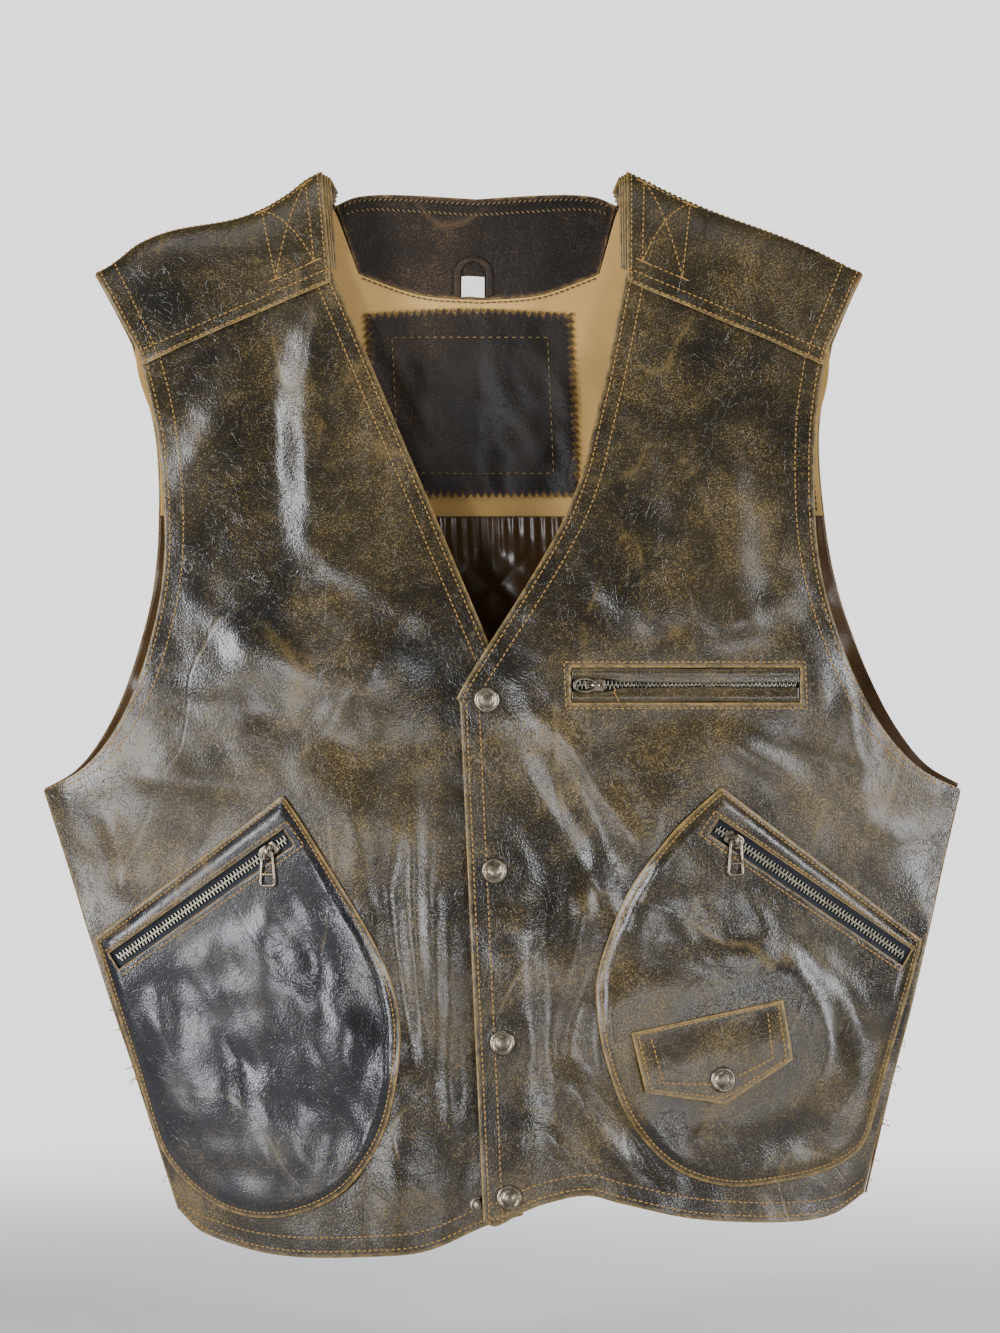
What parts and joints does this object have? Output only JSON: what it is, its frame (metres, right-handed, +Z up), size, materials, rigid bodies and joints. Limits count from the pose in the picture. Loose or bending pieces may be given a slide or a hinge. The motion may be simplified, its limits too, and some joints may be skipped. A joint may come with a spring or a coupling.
{
  "type": "leather vest",
  "caption": "Snap-front leather waistcoat with slanted zip pockets, a chest zip pocket, a small flap, shoulder yokes and a lined back, hung by its shoulders.",
  "frame": {"origin": "midway between the neck ends of the two shoulder ridges, level with them, where a hanger carries the vest", "axes": "+X towards the wearer's left front, +Y from the front to the back, +Z up; the snap front faces -Y"},
  "size_m": [0.532, 0.0984, 0.625],
  "materials": {
    "shell_leather": "distressed waxed leather, near-black brown with ochre rub-off and raw tan edges",
    "pocket_leather": "glossy blue-black leather with ochre rub-off at its edge",
    "inner_leather": "dull dark leather, little worn",
    "beige_cotton": "plain woven cotton, matte",
    "brown_satin": "quilted satin with a soft sheen",
    "label_cloth": "blank white woven label",
    "zip_tape": "dark slate woven zip tape",
    "old_brass": "antique brass, worn and slightly tarnished",
    "thread": "waxed orange-tan sewing thread"
  },
  "bodies": {
    "shell": {"left_back_panel": "shell_leather", "right_back_panel": "shell_leather", "left_shoulder_yoke": "shell_leather", "right_shoulder_yoke": "shell_leather", "left_yoke_lining": "beige_cotton", "right_yoke_lining": "beige_cotton", "neck_facing": "inner_leather", "upper_lining": "beige_cotton", "quilted_lining": "brown_satin", "lining_patch": "inner_leather", "size_label": "label_cloth"},
    "left_front": {"left_front_panel": "shell_leather", "left_front_facing": "inner_leather", "left_front_lining": "brown_satin", "snap_cap_1": "old_brass", "snap_cap_2": "old_brass", "snap_cap_3": "old_brass", "snap_cap_4": "old_brass", "snap_socket_1": "old_brass", "snap_socket_2": "old_brass", "snap_socket_3": "old_brass", "snap_socket_4": "old_brass", "chest_pocket_upper_welt": "shell_leather", "chest_pocket_lower_welt": "shell_leather", "chest_zip_tape": "zip_tape", "chest_zip_chain": "old_brass", "chest_pocket_bag": "beige_cotton", "left_pocket": "shell_leather", "left_pocket_zip_tape": "zip_tape", "left_pocket_zip_chain": "old_brass", "flap_snap_stud": "old_brass"},
    "right_front": {"right_front_panel": "shell_leather", "right_front_facing": "inner_leather", "right_front_lining": "brown_satin", "snap_stud_1": "old_brass", "snap_stud_2": "old_brass", "snap_stud_3": "old_brass", "snap_stud_4": "old_brass", "snap_post_1": "old_brass", "snap_post_2": "old_brass", "snap_post_3": "old_brass", "snap_post_4": "old_brass", "right_pocket": "pocket_leather", "right_pocket_zip_tape": "zip_tape", "right_pocket_zip_chain": "old_brass"},
    "pocket_flap": {"pocket_flap": "shell_leather", "flap_snap_cap": "old_brass", "flap_snap_socket": "old_brass"},
    "chest_slider": {"chest_zip_slider": "old_brass"},
    "chest_pull": {"chest_zip_pull": "old_brass"},
    "left_pocket_slider": {"left_pocket_zip_slider": "old_brass"},
    "left_pocket_pull": {"left_pocket_zip_pull": "old_brass"},
    "right_pocket_slider": {"right_pocket_zip_slider": "old_brass"},
    "right_pocket_pull": {"right_pocket_zip_pull": "old_brass"},
    "hanging_loop": {"hanging_loop": "inner_leather"}
  },
  "joints": [
    {"name": "left_front_swing", "type": "hinge", "parent": "shell", "child": "left_front", "pos_m": [0.28211, 0, -0.358], "axis": [0.2259, 0, 0.9742], "range_deg": [0, 35]},
    {"name": "right_front_swing", "type": "hinge", "parent": "shell", "child": "right_front", "pos_m": [-0.24989, 0, -0.358], "axis": [0.3064, 0, -0.9519], "range_deg": [0, 33]},
    {"name": "pocket_flap_lift", "type": "hinge", "parent": "left_front", "child": "pocket_flap", "pos_m": [0.08926, -0.05954, -0.4946], "axis": [-0.9645, -0.1786, -0.1946], "range_deg": [0, 150]},
    {"name": "chest_zip_slide", "type": "slide", "parent": "left_front", "child": "chest_slider", "axis": [0.994, 0.1095, 0], "range_m": [0, 0.1038]},
    {"name": "chest_pull_swing", "type": "hinge", "parent": "chest_slider", "child": "chest_pull", "pos_m": [0.06941, -0.0519, -0.2976], "axis": [0, 0.005, 1], "range_deg": [0, 150]},
    {"name": "left_zip_slide", "type": "slide", "parent": "left_front", "child": "left_pocket_slider", "axis": [0.8011, 0.2442, -0.5464], "range_m": [0, 0.1111]},
    {"name": "left_pull_swing", "type": "hinge", "parent": "left_pocket_slider", "child": "left_pocket_pull", "pos_m": [0.14917, -0.05036, -0.38594], "axis": [-0.9637, -0.2671, 0], "range_deg": [0, 150]},
    {"name": "right_zip_slide", "type": "slide", "parent": "right_front", "child": "right_pocket_slider", "axis": [-0.7856, 0.2602, -0.5614], "range_m": [0, 0.1003]},
    {"name": "right_pull_swing", "type": "hinge", "parent": "right_pocket_slider", "child": "right_pocket_pull", "pos_m": [-0.1177, -0.0495, -0.39233], "axis": [-0.9622, 0.2723, 0], "range_deg": [0, 150]},
    {"name": "hanging_loop_lift", "type": "hinge", "parent": "shell", "child": "hanging_loop", "pos_m": [-0.00081, 0.0154, -0.071], "axis": [1, 0, 0], "range_deg": [0, 90]}
  ],
  "couplings": [
    {"joint": "right_front_swing", "follows": "left_front_swing", "ratio": 0.92}
  ]
}
